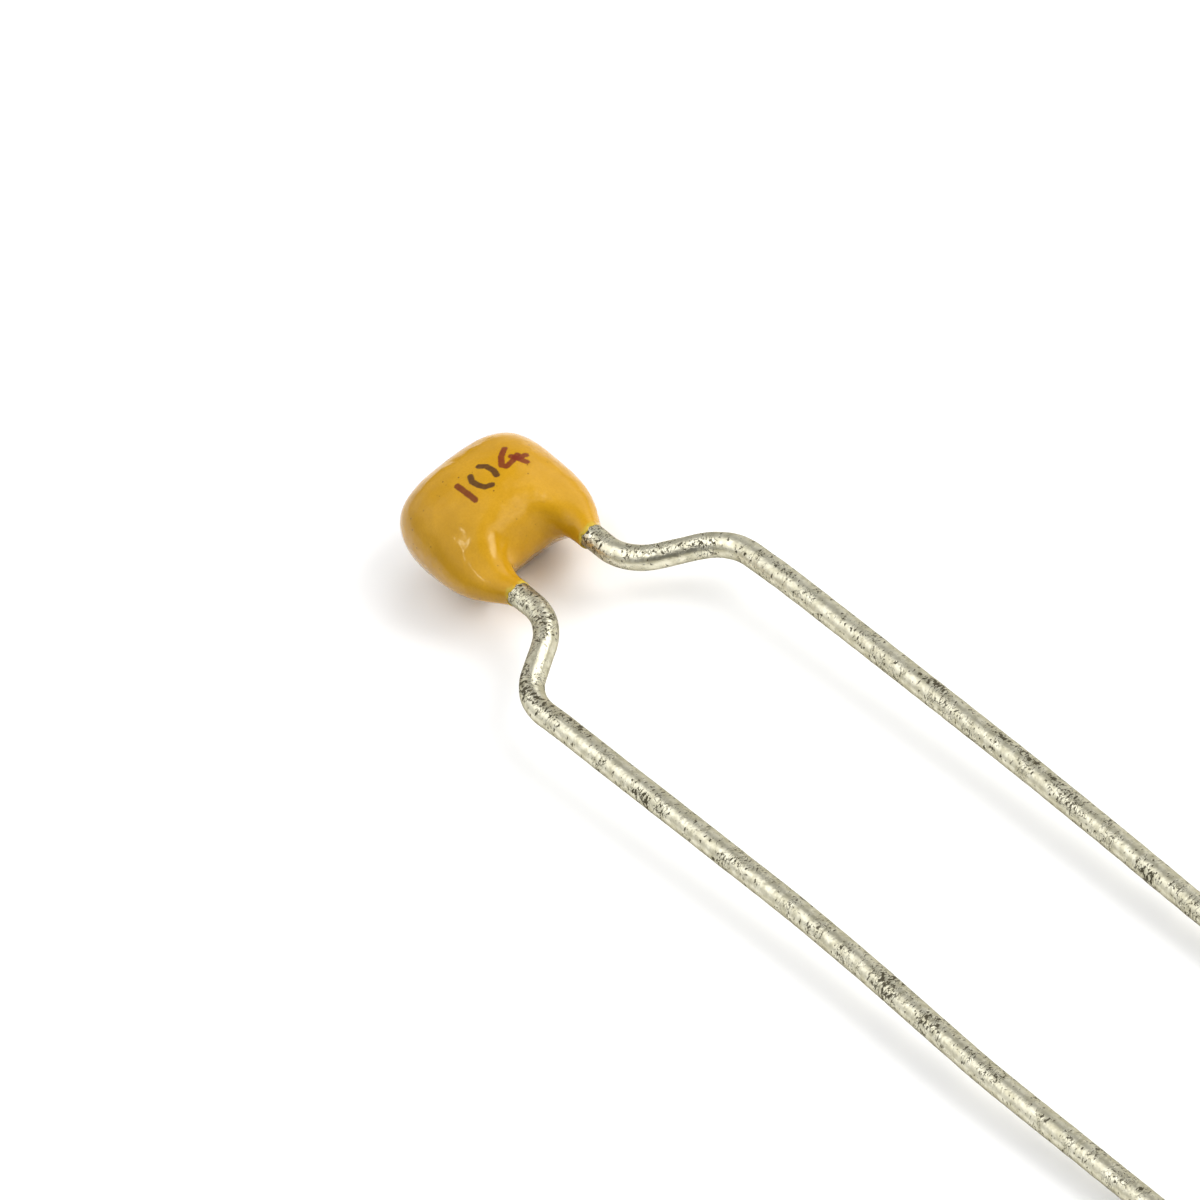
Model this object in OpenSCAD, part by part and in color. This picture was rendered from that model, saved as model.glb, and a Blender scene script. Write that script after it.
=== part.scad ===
// Multilayer ceramic capacitor: a ceramic chip soldered between two kinked
// leads and dipped in epoxy. Millimetres.
// Everything is drawn in the plane of the leads: X runs across the leads,
// +Y from the lead ends towards the body, Z through the thickness, and
// Y = 0 is where the coating ends on the leads. The whole part is then laid
// down on its flat side, on the belly of the coating and the two lead ends.

/* [Chip] */
// Length of the chip over its two terminations
chip_l = 1.24; // [1.1:0.02:1.6]
// Height of the ceramic block, along the leads
chip_h = 1.6; // [1.2:0.05:2.4]
// Thickness of the ceramic block
chip_t = 1.1; // [0.8:0.05:1.5]
// Thickness of the metal of a termination
term_t = 0.05; // [0.03:0.01:0.08]
// Width of the band that a termination wraps round the block
term_band = 0.3; // [0.2:0.02:0.4]
// Number of electrode plates, both sides together
plate_count = 8; // [4:2:12]
// Thickness of an electrode plate
plate_t = 0.03; // [0.02:0.005:0.04]
// Ceramic between a plate and the side faces of the block
side_margin = 0.2; // [0.1:0.02:0.3]
// Ceramic between the free end of a plate and the other termination
end_margin = 0.25; // [0.15:0.02:0.35]
// Ceramic over the outermost plates
cover_t = 0.2; // [0.1:0.02:0.3]

/* [Leads] */
// Diameter of the lead wire
wire_d = 0.5; // [0.4:0.05:0.6]
// Distance between the straight leads, centre to centre
lead_pitch = 5.08; // [4:0.02:6]
// Length of the straight part of a lead, from the kink to its end
lead_l = 25; // [10:1:32]
// Distance from the coating to the corner that the first bend rounds off
exit_drop = 1.2; // [1.05:0.05:1.8]
// Height of the kink, from corner to corner
kink_h = 1.25; // [1.15:0.05:2]
// Radius of the bends, at the centre of the wire
bend_r = 1.4; // [0.8:0.05:1.55]
// Length of lead that lies along the chip
grip_h = 1.3; // [0.8:0.05:1.6]

/* [Solder] */
// Solder between a lead and its termination
solder_gap = 0.03; // [0.02:0.01:0.06]
// Solder round the rest of the lead
solder_skin = 0.04; // [0.02:0.01:0.06]
// Width of the solder where it meets the termination
solder_foot = 0.8; // [0.65:0.05:0.8]

/* [Coating] */
// Epoxy beyond each lead, at the widest point of the body
coat_side = 0.5; // [0.35:0.05:0.8]
// Epoxy over the middle of each face of the chip
coat_face = 0.5; // [0.45:0.05:0.8]
// Epoxy over the top of the chip
coat_top = 0.6; // [0.5:0.05:0.9]
// Epoxy between the chip and the crown of the arch
coat_under = 0.5; // [0.4:0.05:0.8]
// Epoxy round the wire at the very end of a leg
coat_tip = 0.02; // [0.015:0.005:0.05]
// Height of the arch between the two legs
arch_h = 0.95; // [0.7:0.05:1.4]
// Height of the widest point of the body above the crown of the arch
widest_h = 0.9; // [0.7:0.05:1.1]
// Squareness of the body's outline: 2 is an ellipse, 4 is nearly square
outline_square = 3.4; // [2.4:0.1:4]
// Squareness of the edge that turns down into the arch
crown_square = 2.9; // [2.2:0.1:3.4]
// Squareness of the outer edge
rim_square = 2.1; // [2:0.1:3]
// How quickly a leg thins towards its end
leg_taper = 1.75; // [1.4:0.05:2.2]
// How softly the flank leaves the wire
flank_foot = 1.2; // [1.1:0.05:1.6]
// How early the flank reaches the full width
flank_shoulder = 2.9; // [2.2:0.1:3.4]

/* [Smoothness] */
// Sections along the coating, from the end of one leg to the other
coat_stations = 56; // [32:2:64]
// Points round each section
section_points = 36; // [24:4:40]

/* [Hidden] */
$fn = 64;

// Places in the lead plane
wire_r = wire_d / 2;
chip_face_x = chip_l / 2;
exit_x = chip_face_x + solder_gap + wire_r;
lead_x = lead_pitch / 2;
chip_foot_y = arch_h + coat_under;
chip_mid_y = chip_foot_y + chip_h / 2;
lead_top_y = chip_foot_y + grip_h;

// The two bends of a lead. The wire is a hair thicker in them, so that each
// straight length ends inside the bend that it meets.
bend_swell = 0.001;
bend_overlap = 0.01;
kink_angle = atan2(lead_x - exit_x, kink_h);
bend_reach = bend_r * tan(kink_angle / 2);
slope_l = norm([lead_x - exit_x, kink_h]) - 2 * bend_reach;
bend_1_y = -exit_drop + bend_reach;
bend_2_y = -exit_drop - kink_h - bend_reach;
lead_end_y = bend_2_y - lead_l;

// The ceramic block and its plates
block_l = chip_l - 2 * term_t;
plate_pitch = (chip_t - 2 * cover_t - plate_t) / (plate_count - 1);
plate_l = block_l - end_margin;
plate_w = chip_h - 2 * side_margin;

// The body of the coating
tip_r = wire_r + coat_tip;
body_half_w = exit_x + wire_r + coat_side;
body_half_t = chip_t / 2 + term_t + coat_face;
body_top_y = chip_foot_y + chip_h + coat_top;
widest_y = arch_h + widest_h;
crown_h = body_top_y - widest_y;
// The share of each half of the sweep that runs round the body, above its widest
// point: it makes the outline run at an even pace past that point.
round_path = body_half_w * PI / 2;
body_share = round_path / (round_path + widest_y);

// Laying the part down: the belly and the lead ends both touch the surface
belly_y = (arch_h + body_top_y) / 2;
lean = atan2(body_half_t - wire_r, belly_y - lead_end_y);
rest_z = body_half_t * cos(lean) - belly_y * sin(lean);
mid_y = (body_top_y + lead_end_y) / 2;

// A sign-keeping power, for the superellipses
function keep_sign_pow(value, power) = sign(value) * pow(abs(value), power);

// The coating is swept from the end of one leg, over the arch, to the end of
// the other. along runs from -1 to 1. inner_point follows the arch, a half
// ellipse between the legs, and outer_point the outline of the body, a
// superellipse above its widest point and a soft flank below it.
function inner_point(along) =
    [(exit_x - tip_r) * sin(90 * along), arch_h * cos(90 * along)];

function body_radius(angle) =
    pow(pow(cos(angle) / body_half_w, outline_square) + pow(sin(angle) / crown_h, outline_square),
        -1 / outline_square);

function flank(rise) = 1 - pow(1 - pow(rise, flank_foot), flank_shoulder);

function upper_outline(share) =
    let (angle = 90 * (1 - share), reach = body_radius(angle))
    [reach * cos(angle), widest_y + reach * sin(angle)];

function lower_outline(rise) =
    let (foot_x = exit_x + tip_r)
    [foot_x + (body_half_w - foot_x) * flank(rise), widest_y * rise];

function outer_point(along) =
    let (way = abs(along),
         place = way < body_share ? upper_outline(way / body_share)
                                  : lower_outline((1 - way) / (1 - body_share)))
    [sign(along) * place[0], place[1]];

function half_thickness(along) =
    tip_r + (body_half_t - tip_r) * pow(1 - along * along, leg_taper);

// A section's exponent is 2 at the leg ends, where it is the circle round the wire
function squareness(full, along) = 2 + (full - 2) * (1 - pow(abs(along), 3));

// One closed section between the inner and the outer line
function section_ring(along) =
    let (inner = inner_point(along), outer = outer_point(along),
         middle = (inner + outer) / 2, half_span = (outer - inner) / 2)
    [for (k = [0 : section_points - 1])
        let (turn = 360 * k / section_points,
             exponent = squareness(cos(turn) < 0 ? crown_square : rim_square, along),
             across = middle + half_span * keep_sign_pow(cos(turn), 2 / exponent))
        [across[0], across[1],
         half_thickness(along) * keep_sign_pow(sin(turn), 2 / exponent)]];

// Two triangles between neighbouring rings, split the mirrored way on the left half
function ring_faces(station) =
    [for (k = [0 : section_points - 1])
        let (next = (k + 1) % section_points,
             a = station * section_points + k, b = station * section_points + next,
             c = a + section_points, d = b + section_points)
        each station < coat_stations / 2 ? [[a, c, b], [b, c, d]] : [[a, d, b], [a, c, d]]];

module coating_skin() {
    rings = [for (station = [0 : coat_stations]) each section_ring(2 * station / coat_stations - 1)];
    walls = [for (station = [0 : coat_stations - 1]) each ring_faces(station)];
    first_end = [for (k = [0 : section_points - 1]) k];
    last_end = [for (k = [section_points - 1 : -1 : 0]) coat_stations * section_points + k];
    polyhedron(points = rings, faces = concat(walls, [first_end, last_end]), convexity = 4);
}

// Tips the part back onto its belly and lead ends, over the middle of its footprint
module laid_down() {
    translate([0, -mid_y * cos(lean), rest_z]) rotate([lean, 0, 0]) children();
}

// The left half is the right half mirrored
module on_side(left) {
    mirror([left ? 1 : 0, 0, 0]) children();
}

// A length of wire along Y, from one height to another
module wire_along_y(x, low_y, high_y) {
    translate([x, high_y, 0]) rotate([90, 0, 0]) cylinder(r = wire_r, h = high_y - low_y);
}

module bend(start_angle) {
    rotate([0, 0, start_angle]) rotate_extrude(angle = kink_angle)
        translate([bend_r, 0]) circle(r = wire_r + bend_swell);
}

// Right lead: grip, first bend, slope, second bend, straight end
module lead_shape() {
    wire_along_y(exit_x, bend_1_y - bend_overlap, lead_top_y);
    translate([exit_x + bend_r, bend_1_y, 0]) {
        bend(180);
        rotate([0, 0, kink_angle]) wire_along_y(-bend_r, -slope_l - bend_overlap, bend_overlap);
    }
    translate([lead_x - bend_r, bend_2_y, 0]) bend(0);
    wire_along_y(lead_x, lead_end_y, bend_2_y + bend_overlap);
}

// A box centred on X and Z, between two heights
module chip_box(low_x, high_x, height, thickness) {
    translate([low_x, chip_mid_y - height / 2, -thickness / 2])
        cube([high_x - low_x, height, thickness]);
}

module termination_envelope() {
    chip_box(chip_face_x - term_t - term_band, chip_face_x, chip_h + 2 * term_t, chip_t + 2 * term_t);
}

module block_shape() {
    chip_box(-block_l / 2, block_l / 2, chip_h, chip_t);
}

// The solder holds the lead against the termination: a sleeve round the wire
// that widens to a foot
module solder_envelope() {
    translate([0, lead_top_y, 0]) rotate([90, 0, 0]) linear_extrude(height = grip_h) {
        translate([exit_x, 0]) circle(r = wire_r + solder_skin);
        polygon([[chip_face_x, -solder_foot / 2], [exit_x, -wire_r - solder_skin],
                 [exit_x, wire_r + solder_skin], [chip_face_x, solder_foot / 2]]);
    }
}

// The plates of one side: every second layer, each reaching its own termination
module plates(first) {
    for (layer = [first : 2 : plate_count - 1])
        translate([block_l / 2 - plate_l, chip_mid_y - plate_w / 2,
                   -chip_t / 2 + cover_t + layer * plate_pitch])
            cube([plate_l, plate_w, plate_t]);
}

module epoxy_coating() {
    color("goldenrod") laid_down() difference() {
        coating_skin();
        block_shape();
        for (left = [false, true]) on_side(left) {
            termination_envelope();
            solder_envelope();
            wire_along_y(exit_x, -exit_drop / 2, lead_top_y);
        }
    }
}

module ceramic_dielectric() {
    color("wheat") laid_down() difference() {
        block_shape();
        on_side(true) plates(0);
        on_side(false) plates(1);
    }
}

module electrodes_left() {
    color("dimgray") laid_down() on_side(true) plates(0);
}

module electrodes_right() {
    color("dimgray") laid_down() on_side(false) plates(1);
}

module termination(left) {
    color("silver") laid_down() on_side(left) difference() {
        termination_envelope();
        block_shape();
    }
}

module solder(left) {
    color("lightgray") laid_down() on_side(left) difference() {
        solder_envelope();
        termination_envelope();
        wire_along_y(exit_x, chip_foot_y - solder_skin, lead_top_y + solder_skin);
    }
}

module lead(left) {
    color("gainsboro") laid_down() on_side(left) lead_shape();
}

epoxy_coating();
ceramic_dielectric();
electrodes_left();
electrodes_right();
termination(true);  // termination_left
termination(false);  // termination_right
solder(true);  // solder_left
solder(false);  // solder_right
lead(true);  // lead_left
lead(false);  // lead_right
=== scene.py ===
"""Looks of a dipped multilayer ceramic capacitor: the epoxy skin, its two tinned leads, and the light and
camera that show them. Shapes are worked out in millimetres in the plane of the leads (X across the leads,
+Y from the lead ends to the body, Z through the thickness, Y = 0 where the coating ends) and then laid
down into the frame in metres."""

import math

import bpy
import numpy as np
from mathutils import Matrix, Vector


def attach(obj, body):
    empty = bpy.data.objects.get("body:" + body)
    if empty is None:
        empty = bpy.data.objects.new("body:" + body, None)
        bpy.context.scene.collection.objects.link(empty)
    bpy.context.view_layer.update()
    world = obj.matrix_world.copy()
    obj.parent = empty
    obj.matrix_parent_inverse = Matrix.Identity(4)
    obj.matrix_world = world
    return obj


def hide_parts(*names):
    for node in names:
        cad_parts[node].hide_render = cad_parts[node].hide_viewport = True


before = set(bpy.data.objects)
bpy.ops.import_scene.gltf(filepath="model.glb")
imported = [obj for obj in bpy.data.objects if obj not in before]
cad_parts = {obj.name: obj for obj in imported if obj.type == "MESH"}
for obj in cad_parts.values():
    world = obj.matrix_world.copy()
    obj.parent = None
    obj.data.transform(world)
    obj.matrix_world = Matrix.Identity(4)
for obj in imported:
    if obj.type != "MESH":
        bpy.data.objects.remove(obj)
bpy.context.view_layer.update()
scene = bpy.context.scene
MM = 0.001

# ---------------------------------------------------------------- sizes, in millimetres
WIRE_R = 0.25                         # radius of a lead's wire
EXIT_X = 0.9                          # a wire's distance from the middle where it leaves the coating
LEAD_X = 2.54                         # and that of its straight end
EXIT_DROP = 1.2                       # from the coating's end down to the corner of the first bend
KINK_H = 1.25                         # height of the kink, from corner to corner
BEND_R = 1.4                          # bend radius of the wire's centre line
STRAIGHT_L = 25.0                     # length of the straight ends
LEAD_TOP_Y = 2.75                     # where the wires end inside the coating
TIP_R = 0.27                          # radius of the coating where it ends on a wire
BODY_HALF_W = 1.65
BODY_HALF_T = 1.1
BODY_TOP_Y = 3.65
WIDEST_Y = 1.85                       # height at which the body is widest
ARCH_H = 0.95                         # height of the solid's arch, which sets the height of the belly
SKIN_ARCH_H = 0.85                    # height of the skin's own, squarer arch
# Powers of the superellipses, where 2 is an ellipse and more is squarer
OUTLINE_SQUARE = 3.4
ARCH_SQUARE = 3.3
CROWN_SQUARE = 3.4                    # a section, on the arch's side
RIM_SQUARE = 2.1                      # a section, on the outline's side
# The arch's two rims: how deep each is set back on the legs and in the middle, and the two powers that set
# how far it spreads through the thickness and across
UPPER_RIM = (0.28, 0.14, 1.3, 1.5)
UNDER_RIM = (0.05, 0.7, 1.57, 2.5)
RIM_LIMIT = 0.6                       # the most a rim is set back, as a share of the half span
LEG_TAPER = 1.75                      # power by which the thickness falls towards the leg ends
FLANK_FOOT = 1.2                      # power of the rise at the foot of a flank
FLANK_SHOULDER = 2.9                  # and at its shoulder

CROWN_H = BODY_TOP_Y - WIDEST_Y
KINK_ANGLE = math.atan2(LEAD_X - EXIT_X, KINK_H)
BEND_REACH = BEND_R * math.tan(KINK_ANGLE / 2)
BEND_1_Y = -EXIT_DROP + BEND_REACH
BEND_2_Y = -EXIT_DROP - KINK_H - BEND_REACH
LEAD_END_Y = BEND_2_Y - STRAIGHT_L
BELLY_Y = (ARCH_H + BODY_TOP_Y) / 2
LEAN = math.atan2(BODY_HALF_T - WIRE_R, BELLY_Y - LEAD_END_Y)
REST_Z = BODY_HALF_T * math.cos(LEAN) - BELLY_Y * math.sin(LEAN)
MID_Y = (BODY_TOP_Y + LEAD_END_Y) / 2
ORIGIN_MM = (0.0, -MID_Y * math.cos(LEAN), REST_Z)   # where the lead plane's origin lies in the frame


def laid_down(points):
    """Lead-plane millimetres to the frame's metres: each point is turned by the lean about X, then moved so
    that the belly and the lead ends rest on the floor over the middle of the footprint."""
    x, y, z = np.moveaxis(points, -1, 0)
    c, s = math.cos(LEAN), math.sin(LEAN)
    return np.stack([x, y * c - z * s + ORIGIN_MM[1], y * s + z * c + ORIGIN_MM[2]], -1) * MM


# ---------------------------------------------------------------- camera
VIEW_AZIMUTH = math.radians(-17.27)
VIEW_ELEVATION = math.radians(40.95)
VIEW_ROLL = math.radians(26.78)
VIEW_DISTANCE = 400.0                 # mm from the lens to the point it aims at
FRAME_SIDE = 1200                     # the render's side, in pixels
PIXELS_PER_MM = 52.955                # at the distance of the lead plane's origin
ORIGIN_PIXEL = (556.4, 562.6)         # where that origin shows
SENSOR_MM = 36.0
CLIP = (0.01, 10)                     # nearest and farthest that the camera sees, in metres


def look_at_the_part():
    """The camera stands behind the aim along the view's azimuth and elevation, and is then rolled. The aim
    lies off the lead plane's origin by as much as the origin shows off the middle of the render."""
    back = Vector((math.sin(VIEW_AZIMUTH) * math.cos(VIEW_ELEVATION),
                   -math.cos(VIEW_AZIMUTH) * math.cos(VIEW_ELEVATION), math.sin(VIEW_ELEVATION)))
    level = Vector((math.cos(VIEW_AZIMUTH), math.sin(VIEW_AZIMUTH), 0))
    plumb = (-back).cross(level)
    right = math.cos(VIEW_ROLL) * level + math.sin(VIEW_ROLL) * plumb
    down = (-back).cross(right)
    aside, below = ((FRAME_SIDE / 2 - p) / PIXELS_PER_MM for p in ORIGIN_PIXEL)
    aim = Vector(ORIGIN_MM) + aside * right + below * down
    data = bpy.data.cameras.new("camera")
    data.sensor_width = SENSOR_MM
    data.lens = SENSOR_MM * PIXELS_PER_MM * VIEW_DISTANCE / FRAME_SIDE
    data.clip_start, data.clip_end = CLIP
    camera = bpy.data.objects.new("camera", data)
    scene.collection.objects.link(camera)
    turn = Matrix((right, -down, back)).transposed()
    camera.matrix_world = Matrix.Translation((aim + VIEW_DISTANCE * back) * MM) @ turn.to_4x4()
    scene.camera = camera


look_at_the_part()


# ---------------------------------------------------------------- surfaces
def keep_sign_pow(value, power):
    """A power that keeps the sign of its value, for superellipses."""
    return np.sign(value) * np.abs(value) ** power


def make_piece(name, rings, ends, wire_space=None):
    """A closed mesh from a grid of rings, shape (stations, points, 3), in the frame's metres. Neighbouring
    rings are joined by four-sided faces, and each end is closed by a fan to its point in ends."""
    stations, around = rings.shape[:2]
    k, following = np.arange(around), (np.arange(around) + 1) % around
    row = np.arange(stations - 1)[:, None] * around
    a, b = (row + k).ravel(), (row + following).ravel()
    quads = np.stack([a, b, b + around, a + around], 1)
    first, last = stations * around, stations * around + 1
    top_row = (stations - 1) * around
    fans = np.concatenate([
        np.stack([np.full(around, first), following, k], 1),
        np.stack([np.full(around, last), top_row + k, top_row + following], 1)])
    points = np.concatenate([rings.reshape(-1, 3), np.asarray(ends, float).reshape(2, 3)])
    triangles = np.concatenate([quads[:, [0, 1, 2]], quads[:, [0, 2, 3]], fans])
    p, q, r = (points[triangles[:, i]] - points.mean(0) for i in range(3))
    if np.einsum("ij,ij->i", p, np.cross(q, r)).sum() < 0:   # a negative volume: turn all faces
        quads, fans = quads[:, ::-1], fans[:, ::-1]
    mesh = bpy.data.meshes.new(name)
    mesh.from_pydata(points.tolist(), [], quads.tolist() + fans.tolist())
    mesh.polygons.foreach_set("use_smooth", np.ones(len(mesh.polygons), bool))
    if wire_space is not None:
        space = mesh.attributes.new("wire_space", "FLOAT_VECTOR", "POINT")
        space.data.foreach_set("vector", wire_space.astype(np.float32).ravel())
    mesh.validate()
    piece = bpy.data.objects.new(name, mesh)
    scene.collection.objects.link(piece)
    return piece


# ---------------------------------------------------------------- the coating's skin
SKIN_STATIONS = 240
SKIN_POINTS = 168
END_FADE = 4                          # power of along by which what is uneven fades at the leg ends
ROUND_FADE = 3                        # power of along by which the sections turn to circles there
WAVE_DEPTH = 0.012                    # the dipped skin's slow unevenness, as a share of the section
# The waves of that unevenness: radians per millimetre along X, Y and Z, phase and height
SKIN_WAVES = ((2.3, 1.7, 0.0, 0.4, 1.0), (-2.6, 3.9, 2.0, 1.1, 0.6), (3.1, 0.0, 5.2, 0.6, 0.4))
FIRST_WAVE_TURN = (1.9, 1.3)          # the first also varies along Z: radians per millimetre, phase
BODY_SHIFT = -0.06                    # the body sits this far to the left of the leads' middle
CREEP_RINGS = 8
CREEP_SINK = 0.02                     # the ragged edge ends this far inside the wire
CREEP_END_Y = -0.05                   # height of the point that closes it, on the wire's centre line
CREEP_L = 0.07                        # its mean length down the wire
# How that length varies: times round the wire, turn to either side, height
CREEP_WAVES = ((1, 1.4, 0.03), (3, 2.2, 0.02), (7, 1, 0.015), (13, -1, 0.008))

# The outline is widest at BODY_SHARE of the way from the middle of the top to a leg's end
ROUND_PATH = BODY_HALF_W * math.pi / 2
BODY_SHARE = ROUND_PATH / (ROUND_PATH + WIDEST_Y)


def inner_line(along):
    """The arch, half a superellipse from the inner side of one leg to that of the other: across is a power
    of the sine and up a power of the cosine of a quarter turn times along."""
    turn = along * math.pi / 2
    return np.stack([(EXIT_X - TIP_R) * keep_sign_pow(np.sin(turn), 2 / ARCH_SQUARE),
                     SKIN_ARCH_H * np.abs(np.cos(turn)) ** (2 / ARCH_SQUARE)], -1)


def outer_line(along):
    """The body's outline: a superellipse above its widest point, and below it a flank that leaves the wire
    softly, one minus a power of one minus a power of the rise."""
    way = np.abs(along)
    angle = (1 - np.minimum(way / BODY_SHARE, 1)) * math.pi / 2
    reach = ((np.cos(angle) / BODY_HALF_W) ** OUTLINE_SQUARE
             + (np.sin(angle) / CROWN_H) ** OUTLINE_SQUARE) ** (-1 / OUTLINE_SQUARE)
    rise = np.clip((1 - way) / (1 - BODY_SHARE), 0, 1)
    foot_x = EXIT_X + TIP_R
    flank_x = foot_x + (BODY_HALF_W - foot_x) * (1 - (1 - rise ** FLANK_FOOT) ** FLANK_SHOULDER)
    upper = way < BODY_SHARE
    x = np.where(upper, reach * np.cos(angle), flank_x)
    y = np.where(upper, WIDEST_Y + reach * np.sin(angle), WIDEST_Y * rise)
    return np.stack([np.sign(along) * x, y], -1)


def skin_wave(x, y, z):
    """The slow unevenness of a skin that ran and set, from 0 to 1: a half plus the sum of three crossed
    sine waves, one to three millimetres long, over twice the sum of their heights."""
    waves = [height * np.sin(kx * x + ky * y + kz * z + phase) for kx, ky, kz, phase, height in SKIN_WAVES]
    pitch, phase = FIRST_WAVE_TURN
    waves[0] = waves[0] * np.sin(pitch * z + phase)
    return 0.5 + sum(waves) / (2 * sum(wave[-1] for wave in SKIN_WAVES))


def rim_bevel(along, half_span, across, through, leg, middle, power_through, power_across):
    """How far a rim of the arch is set back, as a share of the half span: a depth that goes from leg to
    middle with one minus the square of along and fades out at the leg ends, times a power of through and a
    power of how far the place lies on the arch's side."""
    depth = (leg + (middle - leg) * (1 - along ** 2)) * (1 - along ** END_FADE)
    share = np.minimum(depth / np.linalg.norm(half_span, axis=-1), RIM_LIMIT)
    return share * np.abs(through) ** power_through * np.maximum(-across, 0) ** power_across


def skin_rings():
    """Closed sections between the arch and the outline. Round a section, across is the signed power of the
    cosine and thickness that of the sine, with an exponent that falls to 2, a circle, at the leg ends. The
    arch's rims are set back, and the slow unevenness shrinks the section, but not at the leg ends."""
    along = np.linspace(-1, 1, SKIN_STATIONS + 1)[:, None]
    turn = np.arange(SKIN_POINTS)[None, :] * 2 * math.pi / SKIN_POINTS
    inner, outer = inner_line(along), outer_line(along)
    middle, half_span = (inner + outer) / 2, (outer - inner) / 2
    thick = TIP_R + (BODY_HALF_T - TIP_R) * (1 - along ** 2) ** LEG_TAPER
    full = np.where(np.cos(turn) < 0, CROWN_SQUARE, RIM_SQUARE)
    exponent = 2 + (full - 2) * (1 - np.abs(along) ** ROUND_FADE)
    across = keep_sign_pow(np.cos(turn), 2 / exponent)
    through = keep_sign_pow(np.sin(turn), 2 / exponent)
    across = across + np.where(through > 0, rim_bevel(along, half_span, across, through, *UPPER_RIM),
                               rim_bevel(along, half_span, across, through, *UNDER_RIM))
    plane = middle + half_span * across[..., None]
    z = thick * through
    shrink = 1 - WAVE_DEPTH * skin_wave(plane[..., 0], plane[..., 1], z) * (1 - along ** END_FADE)
    plane = middle + half_span * (across * shrink)[..., None]
    return np.concatenate([plane, (z * shrink)[..., None]], -1)


def creep_rings(side, turn):
    """The thin ragged edge where the skin ends on the wire: a quarter ellipse from the leg's end down to
    just inside the wire. Its length is a mean one plus a few sine waves round the wire."""
    step = (np.arange(CREEP_RINGS) + 1)[:, None] / CREEP_RINGS * math.pi / 2
    reach = CREEP_L + sum(height * np.sin(times * turn + shift * side)
                          for times, shift, height in CREEP_WAVES)
    floor_r = WIRE_R - CREEP_SINK
    radius = floor_r + (TIP_R - floor_r) * np.cos(step) + 0 * turn
    x = side * EXIT_X + side * radius * np.cos(turn)
    return np.stack([x, -reach * np.sin(step), radius * np.sin(turn)], -1)


def make_skin():
    """The coating's skin: a ragged edge, the sections from leg to leg, and the other ragged edge."""
    turn = np.arange(SKIN_POINTS)[None, :] * 2 * math.pi / SKIN_POINTS
    rings = np.concatenate([creep_rings(-1, turn)[::-1], skin_rings(), creep_rings(1, turn)])
    ends = np.array([[-EXIT_X, CREEP_END_Y, 0.0], [EXIT_X, CREEP_END_Y, 0.0]])
    rings[..., 0] += BODY_SHIFT
    ends[:, 0] += BODY_SHIFT
    skin = make_piece("dipped_skin", laid_down(rings), laid_down(ends))
    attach(skin, "root")
    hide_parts("epoxy_coating")
    return skin


# ---------------------------------------------------------------- the leads
LEAD_STEP = 0.06                      # spacing of the rings along the wire
LEAD_POINTS = 56
PATH_SAMPLES = 20001                  # places at which a lead's path is added up
CUT_CHAMFER = 0.03                    # how much smaller the first and last rings are
LUMP_DEPTH = 0.006                    # unevenness of the tinning
LUMP_WAVES = 12
LUMP_PITCHES = (1.5, 14)              # least and most radians per millimetre along the wire
LUMP_TIMES = 5                        # a wave goes fewer times than this round the wire
LUMP_PHASES = 6.28                    # the largest phase of a wave
LUMP_SEEDS = {"left": 11, "right": 23}
# How far each hand-straightened lead strays to the right: height and offset, in millimetres
LEFT_STRAY = ((4.0, -0.06), (-0.4, -0.055), (-2.1, -0.045), (-2.6, 0.02), (-3.0, 0.075), (-4.9, 0.095),
              (-7.9, 0.135), (-11.3, 0.17), (-13.6, 0.135), (-15.6, 0.07), (-17.6, 0.005), (-22.0, 0.015),
              (-30.0, 0.03))
RIGHT_STRAY = ((4.0, -0.06), (-0.4, -0.04), (-1.5, -0.05), (-2.2, -0.01), (-3.2, -0.005), (-3.7, 0.025),
               (-4.3, 0.04), (-6.5, 0.05), (-9.7, 0.06), (-12.0, 0.06), (-15.0, 0.025), (-17.6, -0.025),
               (-30.0, -0.04))
STRAY_EASE = 0.6                      # mm over which a stray's corners are rounded, to either side
STRAY_SAMPLES = 3401


def stray_at(knots, height):
    """A smooth line through the knots: straight between them, then a running mean to round its corners."""
    at, offset = np.array(knots[::-1]).T
    fine = np.linspace(at[0], at[-1], STRAY_SAMPLES)
    reach = int(STRAY_EASE / (fine[1] - fine[0]))
    width = 2 * reach + 1
    line = np.pad(np.interp(fine, at, offset), reach, mode="edge")
    return np.interp(height, fine, np.convolve(line, np.full(width, 1 / width), "valid"))


def added_up(slope, step):
    """The running sum of the areas between neighbouring values, from 0: half their sum times the step."""
    return np.concatenate([[0], np.cumsum((slope[1:] + slope[:-1]) / 2) * step])


def lead_line():
    """The centre line of the right lead in the lead plane, as evenly spaced lengths, points and headings,
    a heading being the angle from straight down. It runs straight down from the grip, along an arc, the
    slope, the opposite arc, and straight down to the cut end. A point is the sum of the steps up to it:
    across by the sine of the heading and down by its cosine."""
    slope_l = math.hypot(LEAD_X - EXIT_X, KINK_H) - 2 * BEND_REACH
    arc_l = BEND_R * KINK_ANGLE
    lengths = np.cumsum([0, LEAD_TOP_Y - BEND_1_Y, arc_l, slope_l, arc_l, STRAIGHT_L])
    headings = [0, 0, KINK_ANGLE, KINK_ANGLE, 0, 0]
    s = np.linspace(0, lengths[-1], int(lengths[-1] / LEAD_STEP) + 1)
    fine = np.linspace(0, lengths[-1], PATH_SAMPLES)
    heading, step = np.interp(fine, lengths, headings), fine[1] - fine[0]
    x = EXIT_X + added_up(np.sin(heading), step)
    y = LEAD_TOP_Y - added_up(np.cos(heading), step)
    return s, np.interp(s, fine, x), np.interp(s, fine, y), np.interp(s, lengths, headings)


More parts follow.
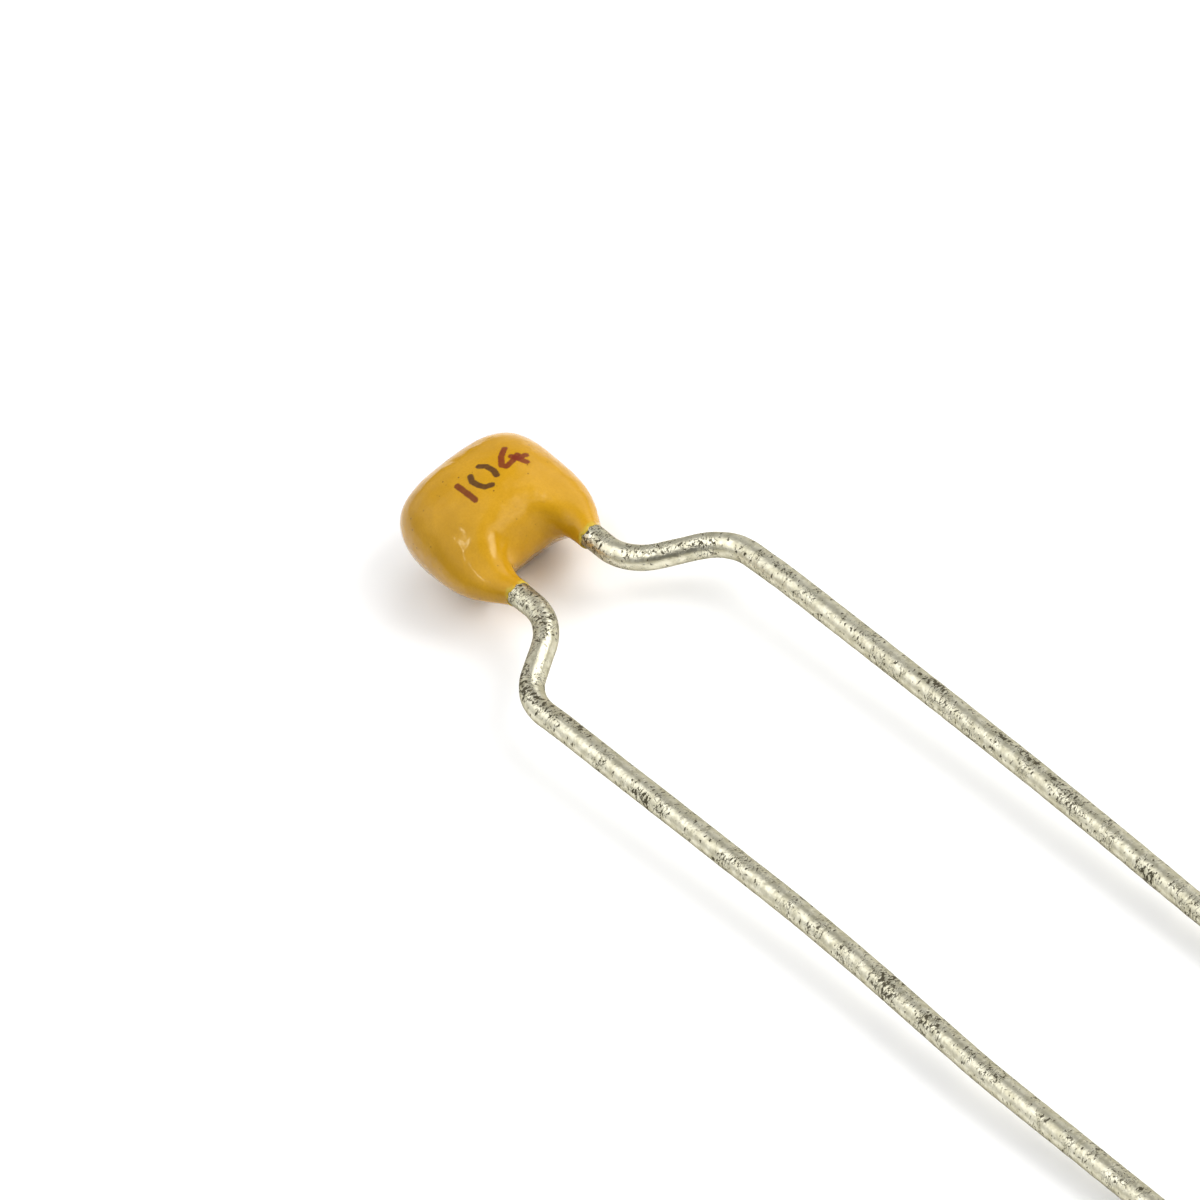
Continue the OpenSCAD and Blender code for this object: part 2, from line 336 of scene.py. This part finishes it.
def tinning(s, turn, seed):
    """The unevenness of the tinned surface from 0 to 1: a half plus the mean of sine waves, each running
    at its own pitch along the wire and a whole number of times round it."""
    pick = np.random.default_rng(seed)
    pitches = pick.uniform(*LUMP_PITCHES, LUMP_WAVES)
    all_times = pick.integers(0, LUMP_TIMES, LUMP_WAVES)
    phases = pick.uniform(0, LUMP_PHASES, LUMP_WAVES)
    waves = sum(np.sin(pitch * s + times * turn + phase)
                for pitch, times, phase in zip(pitches, all_times, phases))
    return 0.5 + np.clip(waves / LUMP_WAVES, -0.5, 0.5)


def make_lead(name, side, stray, seed):
    """A round tube along the lead's line. A ring's point lies off the line by the radius times the cosine
    of turn, square to the heading in the lead plane, and by the radius times the sine of turn through it.
    The first and last rings are smaller, which chamfers the cut ends. Each point also keeps its place as
    if the wire were straight: across, through and along."""
    s, x, y, heading = lead_line()
    x = side * x + stray_at(stray, y)
    turn = np.arange(LEAD_POINTS)[None, :] * 2 * math.pi / LEAD_POINTS
    outward = np.stack([side * np.cos(heading), np.sin(heading)], -1)
    radius = WIRE_R - LUMP_DEPTH * tinning(s[:, None], turn, seed)
    radius[[0, -1]] -= CUT_CHAMFER
    plane = np.stack([x, y], -1)[:, None, :] + outward[:, None, :] * (radius * np.cos(turn))[..., None]
    rings = np.concatenate([plane, (radius * np.sin(turn))[..., None]], -1)
    space = np.stack([radius * np.cos(turn), radius * np.sin(turn), s[:, None] + 0 * turn], -1)
    ends = np.array([[x[0], y[0], 0.0], [x[-1], y[-1], 0.0]])
    end_space = np.array([[0, 0, s[0]], [0, 0, s[-1]]])
    lead = make_piece(name, laid_down(rings), laid_down(ends),
                      np.concatenate([space.reshape(-1, 3), end_space]) * MM)
    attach(lead, "root")
    return lead


skin = make_skin()
lead_left = make_lead("tinned_lead_left", -1, LEFT_STRAY, LUMP_SEEDS["left"])
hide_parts("lead_left")
lead_right = make_lead("tinned_lead_right", 1, RIGHT_STRAY, LUMP_SEEDS["right"])
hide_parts("lead_right")


# ---------------------------------------------------------------- shader maths
class Field:
    """A shader socket that ordinary arithmetic works on. Each operator adds the Math node for it."""

    def __init__(self, finish, socket):
        self.finish, self.socket = finish, socket

    def maths(self, operation, *values):
        """The Math node of that operation on the values, in order."""
        return self.finish.node("ShaderNodeMath", {"operation": operation}, dict(enumerate(values)))

    def __add__(self, other):
        return self.maths("ADD", self, other)

    def __sub__(self, other):
        return self.maths("SUBTRACT", self, other)

    def __rsub__(self, other):
        return self.maths("SUBTRACT", other, self)

    def __mul__(self, other):
        return self.maths("MULTIPLY", self, other)

    def __truediv__(self, other):
        return self.maths("DIVIDE", self, other)

    def __rtruediv__(self, other):
        return self.maths("DIVIDE", other, self)

    def __pow__(self, other):
        return self.maths("POWER", self, other)

    __radd__, __rmul__ = __add__, __mul__

    def least(self, other):
        """The smaller of the two."""
        return self.maths("MINIMUM", self, other)

    def most(self, other):
        """The larger of the two."""
        return self.maths("MAXIMUM", self, other)

    def absolute(self):
        """The value without its sign."""
        return self.maths("ABSOLUTE", self)

    def root(self):
        """The square root."""
        return self.maths("SQRT", self)

    def ramp(self, start, end):
        """0 before start, 1 past end, and between them three times the square of the way less twice its
        cube. start may be the larger one."""
        rise = self.finish.node("ShaderNodeMapRange", {"interpolation_type": "SMOOTHSTEP"},
                                {"Value": self, "From Min": min(start, end), "From Max": max(start, end)})
        return 1 - rise if start > end else rise


class Finish:
    """The nodes of a procedural material, or of the world's light."""

    def __init__(self, owner):
        owner.use_nodes = True
        self.owner, self.nodes, self.links = owner, owner.node_tree.nodes, owner.node_tree.links
        self.nodes.clear()

    def node(self, kind, settings=None, inputs=None, out=0):
        """Any node: its type, its settings, which are set first, and the value or link of each socket."""
        made = self.nodes.new(kind)
        for name, value in (settings or {}).items():
            setattr(made, name, value)
        for key, value in (inputs or {}).items():
            if isinstance(value, Field):
                self.links.new(value.socket, made.inputs[key])
            else:
                made.inputs[key].default_value = value
        return Field(self, made.outputs[out]) if made.outputs else None

    def here(self):
        """The place on the piece, in lead-plane millimetres."""
        at = self.node("ShaderNodeTexCoord", out="Object")
        corner = tuple(c * MM for c in ORIGIN_MM)
        return self.node("ShaderNodeMapping", {"vector_type": "TEXTURE"},
                         {"Vector": at, "Location": corner, "Rotation": (LEAN, 0, 0), "Scale": (MM, MM, MM)})

    def along_wire(self):
        """The place on a lead as if it were straight: across, through and along it, in millimetres."""
        at = self.node("ShaderNodeAttribute", {"attribute_name": "wire_space"}, out="Vector")
        return self.node("ShaderNodeVectorMath", {"operation": "SCALE"}, {"Vector": at, "Scale": 1 / MM})

    def squeezed(self, at, factors):
        """The place with each part times its own factor, so that a pattern shrinks by it."""
        return self.node("ShaderNodeVectorMath", {"operation": "MULTIPLY"}, {0: at, 1: factors})

    def noise(self, at, scale, detail=2.0, roughness=0.5):
        """Cloudy noise from 0 to 1, with scale clouds to the millimetre."""
        return self.node("ShaderNodeTexNoise", {},
                         {"Vector": at, "Scale": scale, "Detail": detail, "Roughness": roughness})

    def cells(self, at, scale, out="Distance"):
        """Scattered points, scale to the millimetre: the distance to the nearest, or its colour."""
        return self.node("ShaderNodeTexVoronoi", {}, {"Vector": at, "Scale": scale}, out)

    def first_channel(self, colour):
        """The red part of a colour."""
        return self.node("ShaderNodeSeparateColor", {}, {0: colour})

    def apart(self, at):
        """The three parts of a place."""
        split = self.node("ShaderNodeSeparateXYZ", {}, {"Vector": at}).socket.node
        return tuple(Field(self, socket) for socket in split.outputs)

    def blend(self, share, first, second):
        """A colour from first to second, by share."""
        return self.node("ShaderNodeMix", {"data_type": "RGBA"}, {0: share, 6: first, 7: second}, 2)

    def bump(self, height, distance):
        """The normal over a relief: height times distance, in metres."""
        return self.node("ShaderNodeBump", {}, {"Height": height, "Distance": distance, "Strength": 1.0})

    def surface(self, **sockets):
        """The shader itself. A socket's name is written with underscores for its spaces."""
        shader = self.node("ShaderNodeBsdfPrincipled", {},
                           {name.replace("_", " "): value for name, value in sockets.items()})
        self.node("ShaderNodeOutputMaterial", {}, {"Surface": shader})
        return self.owner


def new_finish(name):
    """An empty material to add nodes to."""
    return Finish(bpy.data.materials.new(name))


def rgb(red, green, blue):
    """A colour from its screen values, 0 to 255, in the linear light that shaders work in, by the two-part
    curve of the sRGB standard."""
    def linear(c):
        c /= 255
        return c / 12.92 if c <= 0.04045 else ((c + 0.055) / 1.055) ** 2.4
    return (linear(red), linear(green), linear(blue), 1.0)


def wear(piece, material):
    """The piece gets that material and no other."""
    piece.data.materials.clear()
    piece.data.materials.append(material)


# ---------------------------------------------------------------- the epoxy and its value code
OCHRE, WARM_OCHRE, GRAIN_TONE = rgb(173, 128, 18), rgb(184, 138, 28), rgb(160, 114, 12)
SPECK_TONE, THIN_EDGE_TONE = rgb(92, 62, 10), rgb(176, 158, 58)
RED_INK, DARK_INK, BROWN_INK = rgb(96, 30, 12), rgb(66, 36, 20), rgb(104, 32, 13)
EPOXY_GLOSS = {"IOR": 1.32, "Specular_Tint": (1.0, 0.93, 0.66, 1.0)}
# How many clouds or points of each pattern go to the millimetre
MOTTLE_SCALE = 1.3
GRAIN_SCALE = 22
SPECK_SCALE = 8
THIN_EDGE_SCALE = 6
RAGGED_SCALE = 30
WORN_SCALE = 14
RIPPLE_SCALE = 3.2
DIMPLE_SCALE = 28
SPECK_SIZE = (0.22, 0.08)             # a speck fades out from the smaller distance to the larger
SPECK_CHOICE = (0.74, 0.95)           # only the points whose red is past these have a speck
THIN_EDGE_Y = (0.06, -0.05)           # heights between which the coating thins to its edge
THIN_EDGE_STRAY = 0.34                # the range over which those heights wander
EPOXY_RELIEF = 0.022 * MM             # depth of the rippled surface, in metres

STROKE_HALF = 0.062                   # half the width of a stroke of ink
STROKE_SOFT = 0.014                   # half the width over which its edge fades
STROKE_RAGGED = 0.035                 # how far that edge wanders
INK_Z = (0.2, 0.4)                    # the ink is on the upper face only, above these heights
# The value code, one stroke a row: the points it runs through, in lead-plane millimetres
ONE = (((-0.4, 2.2), (-0.38, 1.62)),)
ZERO = (((-0.09, 2.17), (-0.15, 2.03), (-0.13, 1.86), (-0.07, 1.71), (0.06, 1.65)),
        ((0.17, 2.25), (0.27, 2.13), (0.3, 1.93), (0.27, 1.78)))
FOUR = (((0.8, 2.29), (0.62, 2.14), (0.49, 1.93), (0.54, 1.84), (0.72, 1.9), (0.88, 1.99)),
        ((0.77, 2.02), (0.9, 1.73)), ((0.81, 1.9), (1.0, 1.9)))


def stroke_distance(x, y, points):
    """The distance to a line through the points, the least of those to its straight pieces. To a piece it
    is the length from the place to the nearest point of the piece, found by the clamped share along it."""
    nearest = None
    for (ax, ay), (bx, by) in zip(points, points[1:]):
        dx, dy = bx - ax, by - ay
        share = (((x - ax) * dx + (y - ay) * dy) / (dx * dx + dy * dy)).most(0).least(1)
        off_x, off_y = x - ax - share * dx, y - ay - share * dy
        away = (off_x * off_x + off_y * off_y).root()
        nearest = away if nearest is None else nearest.least(away)
    return nearest


def inked(paint, at, colour):
    """The colour with the value code printed on it, and a mask of the ink."""
    x, y, z = paint.apart(at)
    wander = (paint.noise(at, RAGGED_SCALE, 2, 0.6) - 0.5) * STROKE_RAGGED
    worn = 0.8 + 0.2 * paint.noise(at, WORN_SCALE, 2)
    upper_face = z.ramp(*INK_Z)
    ink = None
    for strokes, tone in ((ONE, RED_INK), (ZERO, DARK_INK), (FOUR, BROWN_INK)):
        for points in strokes:
            away = stroke_distance(x, y, points) + wander
            mark = away.ramp(STROKE_HALF + STROKE_SOFT, STROKE_HALF - STROKE_SOFT) * upper_face
            colour = paint.blend(mark * worn, colour, tone)
            ink = mark if ink is None else ink.most(mark)
    return colour, ink


def epoxy_finish():
    """Glossy ochre epoxy: slow mottling, fine grain, dark specks, the printed code, a paler edge where it
    thins out on the wires, and a slightly rippled surface."""
    paint = new_finish("ochre_epoxy")
    at = paint.here()
    _, height, _ = paint.apart(at)
    mottle = paint.noise(at, MOTTLE_SCALE, 3, 0.55)
    grain = paint.noise(at, GRAIN_SCALE, 2, 0.6)
    colour = paint.blend(mottle.ramp(0.3, 0.7), OCHRE, WARM_OCHRE)
    colour = paint.blend(0.35 * grain.ramp(0.3, 0.75), colour, GRAIN_TONE)
    chosen = paint.first_channel(paint.cells(at, SPECK_SCALE, "Color")).ramp(*SPECK_CHOICE)
    speck = paint.cells(at, SPECK_SCALE).ramp(*SPECK_SIZE) * chosen
    colour = paint.blend(0.8 * speck, colour, SPECK_TONE)
    colour, ink = inked(paint, at, colour)
    stray = THIN_EDGE_STRAY * (paint.noise(at, THIN_EDGE_SCALE, 2) - 0.5)
    colour = paint.blend(0.7 * (height + stray).ramp(*THIN_EDGE_Y), colour, THIN_EDGE_TONE)
    ripple = paint.noise(at, RIPPLE_SCALE, 1, 0.4)
    dimples = paint.noise(at, DIMPLE_SCALE, 2, 0.5)
    relief = ripple + 0.035 * dimples + 0.05 * ink - 0.1 * speck
    return paint.surface(Base_Color=colour, Roughness=0.1 + 0.2 * ink + 0.06 * grain,
                         Normal=paint.bump(relief, EPOXY_RELIEF), **EPOXY_GLOSS)


# ---------------------------------------------------------------- the tinned wire
TIN_LIGHT, TIN_DULL, TIN_DARK = (0.77, 0.74, 0.59, 1), (0.56, 0.53, 0.39, 1), (0.045, 0.037, 0.02, 1)
TIN_EDGE_TINT = (0.36, 0.34, 0.28, 1.0)   # of what it reflects at a glance
TIN_RELIEF = 0.014 * MM               # depth of the uneven surface, in metres
TIN_SQUEEZE = (1, 1, 1.5)             # marks are this much shorter along the wire
# How many clouds of each pattern go to the millimetre
CLUMP_SCALE = 2.0
MARK_SCALE = 8
PIT_SCALE = 10
DULL_SCALE = 5
RELIEF_SCALE = 9
# Each pair: the value where a mark starts and the value where it is full
MARK_EDGE = (0.035, 0.012)            # the thin strokes, by the distance of their noise from its middle
CLUMP_EDGE = (0.46, 0.6)
PIT_EDGE = (0.62, 0.68)
STAIN_EDGE = (1.6, 0.2)
STAIN_CLUMPS, STAIN_PITS, CLUMP_PITS = 0.27, 0.09, 0.2   # how much one thickens the other
# Dark stains on each lead: place along the wire, half length, place across it, half width, strength
LEFT_STAINS = ((3.0, 0.4, 0.0, 0.3, 0.45), (3.9, 0.7, 0.0, 0.3, 0.35), (5.6, 0.5, 0.1, 0.13, 1.0),
               (6.25, 0.6, -0.02, 0.12, 1.0), (7.4, 0.5, -0.12, 0.09, 1.0), (9.9, 0.3, 0.17, 0.08, 0.9),
               (17.8, 0.35, 0.0, 0.3, 0.8), (19.2, 0.4, 0.05, 0.2, 0.7))
RIGHT_STAINS = ((3.0, 0.4, 0.0, 0.3, 0.5), (5.1, 0.7, -0.1, 0.08, 0.6), (7.6, 0.4, 0.05, 0.09, 1.0),
                (12.4, 0.4, 0.1, 0.09, 1.2), (15.3, 1.6, 0.1, 0.06, 0.9), (17.0, 0.3, 0.0, 0.2, 0.7),
                (19.8, 0.3, -0.18, 0.08, 0.9))


def stained(along, across, stains):
    """A mask of the stains, each an ellipse that fades from its strength to nothing near its outline."""
    mask = None
    for place, half_length, offset, half_width, strength in stains:
        far = ((along - place) / half_length) ** 2 + ((across - offset) / half_width) ** 2
        mark = strength * far.ramp(*STAIN_EDGE)
        mask = mark if mask is None else mask.most(mark)
    return mask


def tinned_finish(name, stains):
    """Old tinned wire: cream metal with clumps of fine dark strokes and pits, thickest in the stains. The
    strokes lie where a noise is close to its middle value, and the pits where another is high."""
    paint = new_finish(name)
    at = paint.along_wire()
    across, _, along = paint.apart(at)
    stain = stained(along, across, stains)
    short = paint.squeezed(at, TIN_SQUEEZE)
    clump = paint.noise(at, CLUMP_SCALE, 3, 0.6) + STAIN_CLUMPS * stain
    from_middle = (paint.noise(short, MARK_SCALE, 1.5, 0.5) - 0.5).absolute()
    strokes = from_middle.ramp(*MARK_EDGE) * clump.ramp(*CLUMP_EDGE)
    pitting = paint.noise(short, PIT_SCALE, 2, 0.5) + STAIN_PITS * stain + CLUMP_PITS * (clump - 0.5)
    dark = strokes.most(pitting.ramp(*PIT_EDGE))
    dull = paint.noise(at, DULL_SCALE, 3, 0.65)
    colour = paint.blend(dull.ramp(0.32, 0.68), TIN_LIGHT, TIN_DULL)
    colour = paint.blend(0.92 * dark, colour, TIN_DARK)
    relief = paint.noise(short, RELIEF_SCALE, 3, 0.6) - 0.4 * dark
    return paint.surface(Base_Color=colour, Metallic=1.0 - 0.2 * dark, Specular_Tint=TIN_EDGE_TINT,
                         Roughness=0.23 + 0.16 * dull + 0.2 * dark, Normal=paint.bump(relief, TIN_RELIEF))


# ---------------------------------------------------------------- the inner pieces
def plain_finish(name, light, dark, scale, metallic, roughness, depth):
    """A fine-grained finish: two tones by noise, with a matching slight relief of depth millimetres."""
    paint = new_finish(name)
    at = paint.here()
    grain = paint.noise(at, scale, 3, 0.6)
    colour = paint.blend(grain.ramp(0.35, 0.65), dark, light)
    return paint.surface(Base_Color=colour, Metallic=metallic, Roughness=roughness + 0.15 * grain,
                         Normal=paint.bump(grain, depth * MM))


wear(skin, epoxy_finish())
wear(lead_left, tinned_finish("tinned_wire_left", LEFT_STAINS))
wear(lead_right, tinned_finish("tinned_wire_right", RIGHT_STAINS))
# Name, light and dark tone, grain to the millimetre, metallic, roughness, relief, and the pieces it is on
INNER_FINISHES = (
    ("fired_ceramic", rgb(214, 200, 172), rgb(190, 172, 140), 18, 0.0, 0.55, 0.004, ("ceramic_dielectric",)),
    ("nickel_plates", rgb(150, 148, 142), rgb(118, 116, 110), 30, 1.0, 0.35, 0.001,
     ("electrodes_left", "electrodes_right")),
    ("silvered_ends", rgb(216, 214, 208), rgb(184, 182, 174), 24, 1.0, 0.4, 0.004,
     ("termination_left", "termination_right")),
    ("solder", rgb(196, 196, 192), rgb(160, 160, 156), 6, 1.0, 0.25, 0.01, ("solder_left", "solder_right")))
for *look, pieces in INNER_FINISHES:
    material = plain_finish(*look)
    for piece in pieces:
        wear(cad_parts[piece], material)


# ---------------------------------------------------------------- floor and light
FLOOR_HALF = 1.0                      # half the side of the floor, in metres
FLOOR_CORNERS = 5                     # corners of its grid along a side
FLOOR_TONES = (0.9, 0.9, 0.9, 1), (0.91, 0.91, 0.905, 1)
TENT = 0.02                           # the brightness of the world where no soft light shines
# The soft lights: azimuth, elevation, inner and outer angle, all in degrees, and strength
SOFT_LIGHTS = ((315, 34, 9, 19, 12.5), (0, 36, 4, 36, 2.7), (284, 10, 5, 12, 3.6), (282, 24, 5, 12, 3.6),
               (284, 38, 5, 12, 3.6), (305, 48, 5, 14, 2.4), (280, 12, 4, 36, 0.3), (40, 12, 4, 36, 0.9),
               (90, 36, 4, 36, 0.75), (150, 62, 6, 44, 2.35), (330, 66, 4, 40, 0.9), (120, 14, 4, 36, 0.9),
               (165, 14, 4, 36, 0.65), (205, 14, 4, 32, 0.2))
# The one small light: azimuth, elevation and width in degrees, and strength
SMALL_LAMP = (174, 59, 2, 0.07)


def make_floor():
    """A plain flat sheet under the part."""
    reach = np.linspace(-FLOOR_HALF, FLOOR_HALF, FLOOR_CORNERS)
    x, y = np.meshgrid(reach, reach)
    mesh = bpy.data.meshes.new("floor")
    grid = np.arange(x.size).reshape(x.shape)
    faces = np.stack([grid[:-1, :-1], grid[:-1, 1:], grid[1:, 1:], grid[1:, :-1]], -1).reshape(-1, 4)
    mesh.from_pydata(np.stack([x, y, 0 * x], -1).reshape(-1, 3).tolist(), [], faces.tolist())
    floor = bpy.data.objects.new("floor", mesh)
    scene.collection.objects.link(floor)
    paint = new_finish("white_sheet")
    tone = paint.blend(paint.noise(paint.here(), 0.05, 2), *FLOOR_TONES)
    wear(floor, paint.surface(Base_Color=tone, Roughness=0.9, Specular_IOR_Level=0.1))


def towards(azimuth, elevation):
    """The direction at that azimuth, 0 for +X and 90 for +Y, and that elevation, both in degrees. It goes
    up by the elevation's sine and along the floor by its cosine, which is shared between X and Y by the
    azimuth's cosine and sine."""
    a, e = math.radians(azimuth), math.radians(elevation)
    return (math.cos(a) * math.cos(e), math.sin(a) * math.cos(e), math.sin(e))


def lamp(name, azimuth, elevation, width, strength):
    """A distant round light in that direction, width degrees across."""
    data = bpy.data.lights.new(name, "SUN")
    data.energy, data.angle = strength, math.radians(width)
    light = bpy.data.objects.new(name, data)
    light.rotation_mode = "QUATERNION"
    light.rotation_quaternion = Vector(towards(azimuth, elevation)).to_track_quat("Z", "Y")
    scene.collection.objects.link(light)


def light_tent():
    """The world: a dim tent with soft round patches of light. A patch is full within its inner angle from
    its middle and gone past its outer one."""
    world = bpy.data.worlds.new("light_tent")
    scene.world = world
    sky = Finish(world)
    at = sky.node("ShaderNodeTexCoord", out="Generated")
    level = TENT
    for azimuth, elevation, inner, outer, strength in SOFT_LIGHTS:
        near = sky.node("ShaderNodeVectorMath", {"operation": "DOT_PRODUCT"},
                        {0: at, 1: towards(azimuth, elevation)}, "Value")
        patch = near.ramp(math.cos(math.radians(outer)), math.cos(math.radians(inner)))
        level = level + strength * patch
    glow = sky.node("ShaderNodeBackground", {}, {"Strength": level})
    sky.node("ShaderNodeOutputWorld", {}, {"Surface": glow})


make_floor()
light_tent()
lamp("small_lamp", *SMALL_LAMP)
scene.view_settings.view_transform = "Standard"
